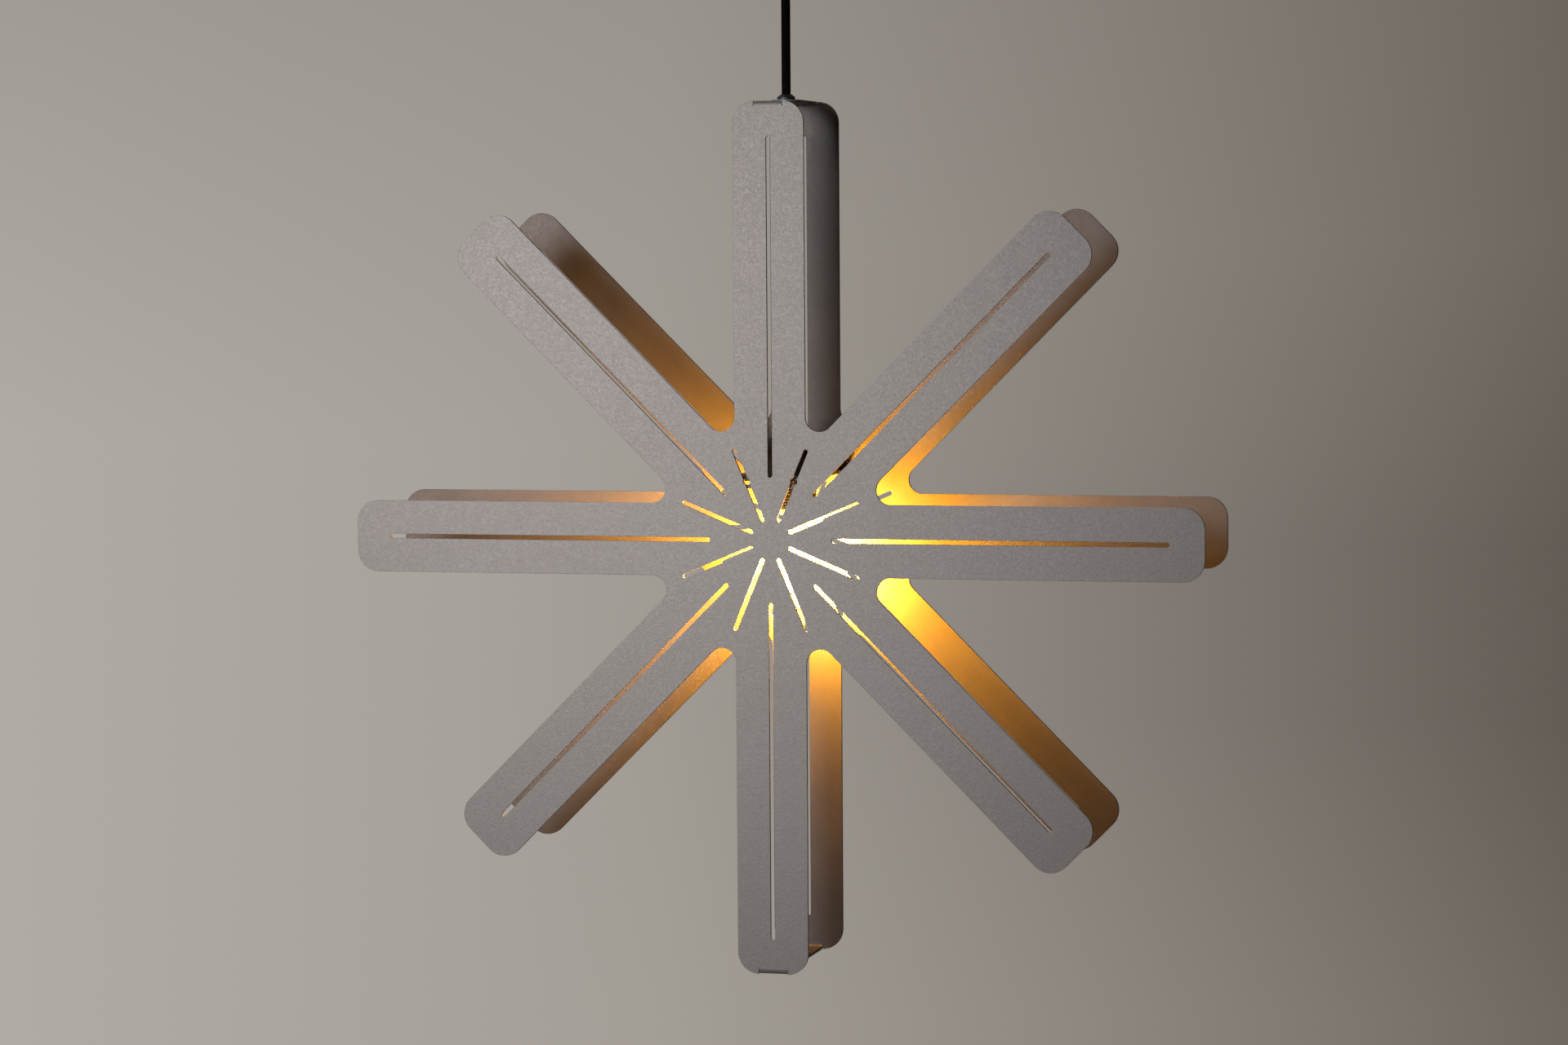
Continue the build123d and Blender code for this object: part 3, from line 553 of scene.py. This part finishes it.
# %% [markdown]
# ## Light
# The photograph has one soft lamp in front, up to the left, and the lamp's own warm light. A softbox
# with a grid makes the first, and a softbox behind lights the side that the photograph doesn't show.
# For the lamp's own light the filaments glow, but so thin a mesh would light the stars with a lot of
# grain. Upright strip lamps round the filaments, which ride with the bulb, do it cleanly, and like
# real filaments they give much light sideways and little up and down. The photograph's light isn't
# the same all round, so neither is their power. At the hub it is so bright that the camera sees
# white: two weak bluish lamps there lift the yellow to that.

# %% Softboxes
star_foot, star_top = (corner[2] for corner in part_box("front_star"))
star_centre = Vector((0.0, 0.0, (star_foot + star_top) / 2))
softbox_white = (1.0, 0.98, 0.975)


def soft_lamp(name, place, direction, size, watts, colour, spread=180.0, body=None):
    """A rectangular soft lamp that the camera can't see. A spread of less than 180 degrees acts as
    the grid that photographers put in front of a softbox. With a body it rides on that body."""
    data = bpy.data.lights.new(name, "AREA")
    data.shape = "RECTANGLE"
    data.size, data.size_y = size
    data.energy, data.color, data.spread = watts, colour, radians(spread)
    lamp = bpy.data.objects.new(name, data)
    if body:
        lamp.parent = frame["bodies"][body]
    lamp.location = place
    lamp.rotation_mode = "QUATERNION"
    lamp.rotation_quaternion = direction.to_track_quat("-Z", "Y")
    lamp.visible_camera = False
    bpy.context.scene.collection.objects.link(lamp)
    print(name, watts, "W at", tuple(round(x, 3) for x in place))


def softbox(name, offset, aim, side, watts, spread=180.0):
    """A square softbox at an offset from the star's middle, aimed at another offset."""
    offset, aim = Vector(offset), Vector(aim)
    soft_lamp(name, star_centre + offset, aim - offset, (side, side), watts, softbox_white, spread)


softbox("key_softbox", (-0.590, -1.537, 0.380), (-0.14, 0.0, 0.05), side=0.55, watts=2.7, spread=59.0)
softbox("back_softbox", (-0.4, 2.0, 0.0), (0.0, 0.0, 0.0), side=1.0, watts=28.0)

# %% Lamps in the bulb
filament_low, filament_high = (Vector(corner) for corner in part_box("bulb_filaments"))
filament_middle = (filament_low + filament_high) / 2
filament_reach, strip_width = 0.01, 0.003
strip_size = (strip_width, filament_high.z - filament_low.z)
strip_watts, strip_colour = (0.67, 2.57, 2.38, 1.2, 2.03, 1.23), (1.0, 0.4, 0.018)
hub_size, hub_watts, hub_colour, hub_spread = (0.01, 0.02), 0.3, (0.7, 0.8, 1.0), 132.0
for number, watts in enumerate(strip_watts):
    angle = 2 * pi * number / len(strip_watts)
    outward = Vector((cos(angle), sin(angle), 0.0))
    place = filament_middle + filament_reach * outward
    soft_lamp(
        f"filament_light_{number}", place, outward, strip_size, watts, strip_colour, body="bulb"
    )
for face, outward in (("back", Vector((0.0, 1.0, 0.0))), ("front", Vector((0.0, -1.0, 0.0)))):
    place = filament_middle + filament_reach * outward
    soft_lamp(
        f"hub_light_{face}", place, outward, hub_size, hub_watts, hub_colour, hub_spread, body="star"
    )

# %% [markdown]
# ## Room
# Behind the lamp is a plain wall in soft warm grey. Its colour carries painted light and shade: it
# is painted lighter to the left, where the light comes from, a little darker at the top, and with a
# painted shadow of the lamp on the right at the lamp's height. The world's colour does that job from
# every side: what the camera, glass or a mirror sees is the wall's grey, and the light it gives the
# lamp is a weak even fill. A mirror that looks away from the wall sees a tenth of that grey, as the
# room there is dark.

# %% Wall
world = bpy.data.worlds.new("plain_room")
bpy.context.scene.world = world
world.use_nodes = True
room = Tree(world.node_tree)
ray = room.node("ShaderNodeTexCoord", output="Generated")


def towards(direction):
    """How far a ray goes towards a direction: their dot product."""
    return room.node(
        "ShaderNodeVectorMath", {"operation": "DOT_PRODUCT"}, {0: ray, 1: direction}, "Value"
    )


half_view = 0.185
# Painted light: the wall's grey is lighter to the left and darker to the right.
wall_light_stops = [
    (0.0, (0.435, 0.408, 0.377)), (0.42, (0.367, 0.34, 0.305)), (1.0, (0.155, 0.134, 0.114)),
]
across = towards(camera_right).between(-half_view, half_view)
upward = towards(camera_up)
lit = room.node("ShaderNodeValToRGB", {"stops": wall_light_stops}, {"Fac": across})
# Painted shade at the top, and a painted shadow of the lamp on the right at its height.
painted_top_shade = 0.2 * upward.between(0.02, 0.125) * (1.0 - 0.75 * across)
lamp_shadow = 0.22 * across.between(0.3, 1.0) * (1.0 - abs(upward + 0.025).between(0.02, 0.09))
wall = room.blend(painted_top_shade + lamp_shadow, lit, (0.0, 0.0, 0.0))
print("wall from", wall_light_stops[0][1], "to", wall_light_stops[-1][1])

# %% What sees the wall
by_camera, by_mirror, by_glass = (
    room.node("ShaderNodeLightPath", output=f"Is {ray_kind} Ray")
    for ray_kind in ("Camera", "Glossy", "Transmission")
)
off_wall = towards(camera_back).between(-0.5, 0.0)
seen = by_camera + by_glass + by_mirror * (1.0 - 0.9 * off_wall)
fill_strength = 0.006
fill = room.node("ShaderNodeBackground", None, {"Color": (1.0, 0.88, 0.80), "Strength": fill_strength})
shown = room.node("ShaderNodeBackground", None, {"Color": wall, "Strength": 1.0})
both = room.node("ShaderNodeMixShader", None, {0: seen, 1: fill, 2: shown})
room.node("ShaderNodeOutputWorld", None, {"Surface": both})
print("fill of", fill_strength)

# %% [markdown]
# ## Floor
# A pale floor lies far below, out of the picture. The softboxes stand by the lamp and hardly reach
# it, so for the camera it glows in its own colour, and a tenth of it is real light with the lamp's
# shadow. Its edge would cut the wall in two when seen from above, so the floor fades out into it.

# %% Floor
floor_half, floor_level = 2.2, -2.6
fade_start, fade_end = 0.3, 2.1
floor_paint = Paint("pale_floor")
scuff = floor_paint.noise(0.4, 3.0)
floor_grey = floor_paint.blend(scuff, (0.40, 0.376, 0.345), (0.44, 0.413, 0.38))
lit_floor = floor_paint.node(
    "ShaderNodeBsdfPrincipled", None, {"Base Color": floor_grey, "Roughness": 0.7}
)
shown_floor = floor_paint.node("ShaderNodeEmission", None, {"Color": floor_grey, "Strength": 1.0})
looked_at = floor_paint.node("ShaderNodeLightPath", output="Is Camera Ray")
floor_face = floor_paint.node(
    "ShaderNodeMixShader", None, {0: 0.9 * looked_at, 1: lit_floor, 2: shown_floor}
)
from_middle = floor_paint.node(
    "ShaderNodeVectorMath", {"operation": "LENGTH"}, {0: floor_paint.place((1.0, 1.0, 0.0))}, "Value"
)
nothing = floor_paint.node("ShaderNodeBsdfTransparent")
faded = floor_paint.node(
    "ShaderNodeMixShader",
    None,
    {0: from_middle.between(fade_start, fade_end), 1: floor_face, 2: nothing},
)
floor_paint.node("ShaderNodeOutputMaterial", None, {"Surface": faded})

floor_mesh = bpy.data.meshes.new("floor")
floor_corners = np.array([(-1, -1), (1, -1), (1, 1), (-1, 1)]) * floor_half
floor_mesh.from_pydata([(x, y, floor_level) for x, y in floor_corners], [], [(0, 1, 2, 3)])
floor_mesh.materials.append(floor_paint.material)
floor = bpy.data.objects.new("floor", floor_mesh)
bpy.context.scene.collection.objects.link(floor)
print("floor at", floor_level, "m")

# %% [markdown]
# ## Finish
# The Standard view keeps colours as they are written.

# %% Finish
bpy.context.scene.view_settings.view_transform = "Standard"
